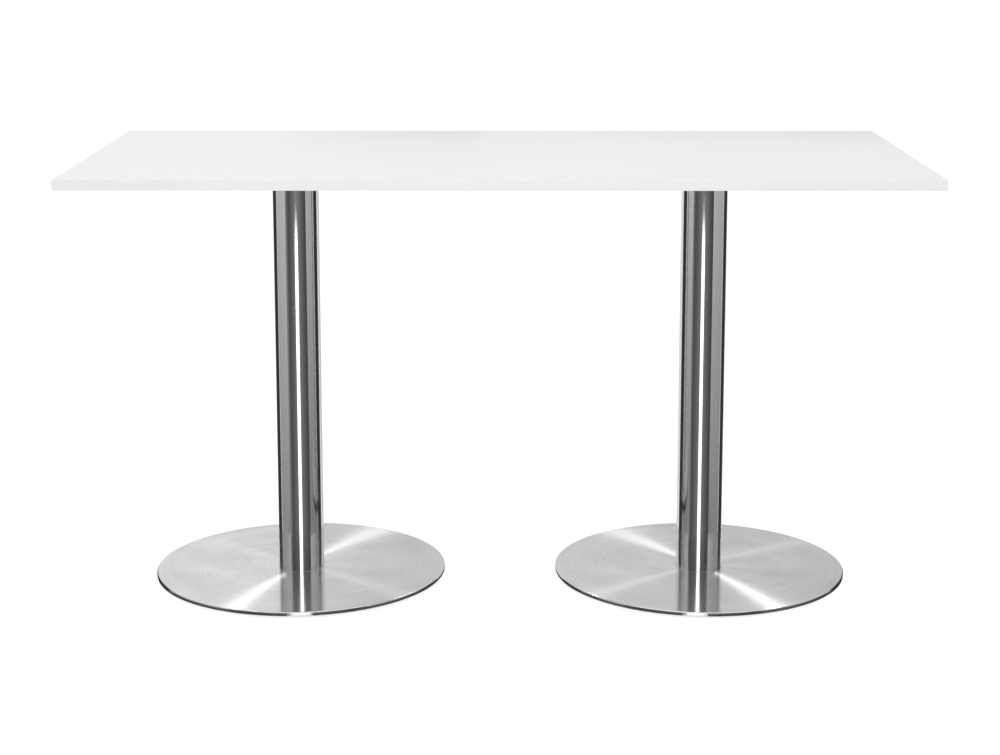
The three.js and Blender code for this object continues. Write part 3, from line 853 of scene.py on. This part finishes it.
# Studio cards that only show in reflections. Each stands on a line in plan and goes from its first to its
# second shade along it. They reach below the floor, because the floor isn't seen by glossy rays.
# fall: share of the shade at the lower edge. peak: height of a pointed top. lean: how far the top leans.
# twice: shows only to rays that metal has mirrored twice, as between a disc and the foot of its column.
# veil: the card shades the lamp behind it, and lets this share of the light through.
cardLook = {
    "frontStrip": {
        "shade": (3.0, 3.0), "line": [(-0.78, -5.4), (0.6, -5.4)], "height": (-1.9, 0.08), "peak": 0.1},
    "frontCloth": {"shade": (0.16, 0.16), "line": [(-0.8, -5.5), (0.8, -5.5)], "height": (-2.6, 1.5)},
    "frontFlagLeft": {"shade": (0.28, 0.1), "line": [(-0.8, -5.4), (-2.2, -2.4)], "height": (-2.6, 1.5)},
    "frontFlagEnd": {"shade": (0.1, 0.34), "line": [(-2.2, -2.4), (-2.5, -1.7)], "height": (-2.6, 1.5)},
    "frontFlagRight": {"shade": (0.28, 0.07), "line": [(0.8, -5.4), (2.5, -2.2)], "height": (-2.6, 1.5)},
    "sideLeft": {
        "shade": (0.84, 0.7), "line": [(-2.5, -1.7), (-2.5, 0.5)], "height": (-0.55, 1.05), "fall": 0.5},
    "sideRight": {
        "shade": (0.76, 0.6), "line": [(2.5, -2.2), (2.5, 0.5)], "height": (-0.55, 1.05), "fall": 0.5},
    "lowSideLeft": {"shade": (0.33, 0.28), "line": [(-2.5, -1.7), (-2.5, 0.5)], "height": (-2.5, -0.55)},
    "lowSideRight": {"shade": (0.32, 0.27), "line": [(2.5, -2.2), (2.5, 0.5)], "height": (-2.5, -0.55)},
    "backFlagLeft": {"shade": (0.05, 0.05), "line": [(-2.1, 0.5), (-1.4, 1.56)], "height": (-1.6, 0.85)},
    "backFlagRight": {"shade": (0.05, 0.05), "line": [(2.1, 0.5), (1.4, 1.56)], "height": (-1.6, 0.85)},
    "backLampLeft": {"shade": (75, 75), "line": [(-3.9, 8.6), (-3.4, 8.6)], "height": (8.8, 11.4)},
    "backLampRight": {"shade": (115, 115), "line": [(3.8, 8.6), (4.3, 8.6)], "height": (8.8, 11.4)},
    "lampShadeLeft": {"shade": (1, 1), "line": [(-2.7, 4.0), (-1.1, 4.0)], "height": (4.8, 6.6), "veil": 0.0},
    "lampShadeRight": {"shade": (1, 1), "line": [(1.96, 4.0), (2.9, 4.0)], "height": (4.8, 6.6), "veil": 0.0},
    "crossShadeRight": {
        "shade": (1, 1), "line": [(1.1, 4.0), (1.96, 4.0)], "height": (3.8, 6.6), "veil": 0.35},
    "backMiddle": {"shade": (0.9, 0.62), "line": [(-0.9, 4.0), (-0.1, 4.0)], "height": (-2.0, 2.6)},
    "backRight": {"shade": (0.9, 0.62), "line": [(-0.1, 4.0), (2.2, 4.0)], "height": (-2.0, 2.6)},
    "topLeft": {"shade": (1.02, 1.0), "line": [(-1.7, 0.6), (0, 0.6)], "height": (1.13, 1.95)},
    "topRight": {"shade": (1.0, 0.94), "line": [(0, 0.6), (1.7, 0.6)], "height": (1.13, 1.95)},
    "overFront": {"shade": (6, 6), "line": [(-1.7, -1.0), (1.7, -1.0)], "height": (2.5, 2.55), "lean": 0.6},
    "highStrip": {
        "shade": (4.5, 4.5), "line": [(-0.78, -5.4), (0.6, -5.4)], "height": (0.09, 8.0), "twice": True},
    "highCloth": {
        "shade": (0.16, 0.16), "line": [(-0.8, -5.5), (0.8, -5.5)], "height": (1.5, 8.0), "twice": True},
    "highFlagLeft": {
        "shade": (0.26, 0.06), "line": [(-0.8, -5.4), (-2.5, -1.7)], "height": (1.5, 8.0), "twice": True},
    "highFlagRight": {
        "shade": (0.26, 0.06), "line": [(0.8, -5.4), (2.5, -2.2)], "height": (1.5, 8.0), "twice": True},
    "highSideLeft": {
        "shade": (1.05, 0.5), "line": [(-2.5, -1.7), (-2.5, 0.5)], "height": (1.05, 4.0), "twice": True},
    "highSideRight": {
        "shade": (1.0, 0.5), "line": [(2.5, -2.2), (2.5, 0.5)], "height": (1.05, 4.0), "twice": True},
    "highBackLeft": {
        "shade": (0.05, 0.05), "line": [(-2.1, 0.5), (-1.4, 1.56)], "height": (0.85, 4.0), "twice": True},
    "highBackRight": {
        "shade": (0.05, 0.05), "line": [(2.1, 0.5), (1.4, 1.56)], "height": (0.85, 4.0), "twice": True},
}
lampLevel = 5      # only cards from this shade on are sampled as lamps, which keeps the fans of light clean
oneMirror = 1.5    # a glossy depth above it is a second mirror


def cardMaterial(name, look):
    material, tree = bareMaterial(name)
    uv = addNode(tree, "ShaderNodeUVMap").outputs[0]
    along, up = addNode(tree, "ShaderNodeSeparateXYZ", {0: uv}).outputs[:2]
    shade = spread(tree, along, *look["shade"])
    strength = calc(tree, "MULTIPLY", shade, spread(tree, up, look.get("fall", 1), 1))
    surface = addNode(tree, "ShaderNodeEmission", {"Color": grey(1), "Strength": strength})
    if look.get("twice"):
        mirrored = addNode(tree, "ShaderNodeLightPath").outputs["Glossy Depth"]
        clear = addNode(tree, "ShaderNodeBsdfTransparent")
        surface = mixShaders(tree, calc(tree, "GREATER_THAN", mirrored, oneMirror), clear, surface)
    if "veil" in look:
        clear = addNode(tree, "ShaderNodeBsdfTransparent")
        surface = mixShaders(tree, look["veil"], surface, clear)
    addNode(tree, "ShaderNodeOutputMaterial", {"Surface": surface.outputs[0]})
    if max(look["shade"]) < lampLevel:
        material.cycles.emission_sampling = "NONE"
    return material


def makeCard(name, look):
    (x0, y0), (x1, y1) = look["line"]
    low, high = look["height"]
    lean = look.get("lean", 0)
    shoulder = high - look.get("peak", 0)
    points = [(x0, y0, low), (x1, y1, low), (x1, y1 + lean, shoulder), (x0, y0 + lean, shoulder)]
    shares = [(0, 0), (1, 0), (1, 1), (0, 1)]
    if "peak" in look:
        points.insert(3, ((x0 + x1) / 2, (y0 + y1) / 2, high))
        shares.insert(3, (0.5, 1))
    card = studioSheet(name, points, cardMaterial(name, look))
    card.data.uv_layers.new(name="card").uv.foreach_set("vector", np.ravel(shares))
    card.visible_camera = card.visible_diffuse = False
    card.visible_shadow = "veil" in look


for name, look in cardLook.items():
    makeCard(name, look)

# Painted shade: a dark ring that the rims mirror in place of the floor's shadow round each disc.
paintedShadeRingLook = {"shade": (0.04, 0.04), "gap": 10 * mm, "height": (-15 * mm, 8 * mm), "open": 5, "steps": 120}


# A low dark ring close round each disc, which only its rim mirrors: x = r sin a, y = -r cos a. It is painted
# shade, a dark reflection in the rim that stands in for the floor's shadow round the disc. It is open towards
# the front strip, which the rim shows as a short white dash.
def makePaintedShadeRing(side):
    look = paintedShadeRingLook
    name = side + "PaintedShadeRing"
    cover = roundNode(side + "_base_cover")
    strip = np.mean(cardLook["frontStrip"]["line"], axis=0) - cover.axis
    front = math.atan2(strip[0], -strip[1])
    angle = front + np.radians(np.linspace(look["open"], 360 - look["open"], look["steps"] + 1))
    ring = cover.axis + (cover.radius + look["gap"]) * np.stack([np.sin(angle), -np.cos(angle)], -1)
    points = [(x, y, z) for z in look["height"] for x, y in ring]
    first = np.arange(look["steps"])
    faces = np.stack([first, first + 1, first + 1 + len(ring), first + len(ring)], -1).tolist()
    paintedShadeRing = studioSheet(name, points, cardMaterial(name, look), faces)
    paintedShadeRing.visible_camera = paintedShadeRing.visible_diffuse = paintedShadeRing.visible_shadow = False


for side in sides:
    makePaintedShadeRing(side)

bpy.context.scene.view_settings.view_transform = "Standard"
print("studio made")
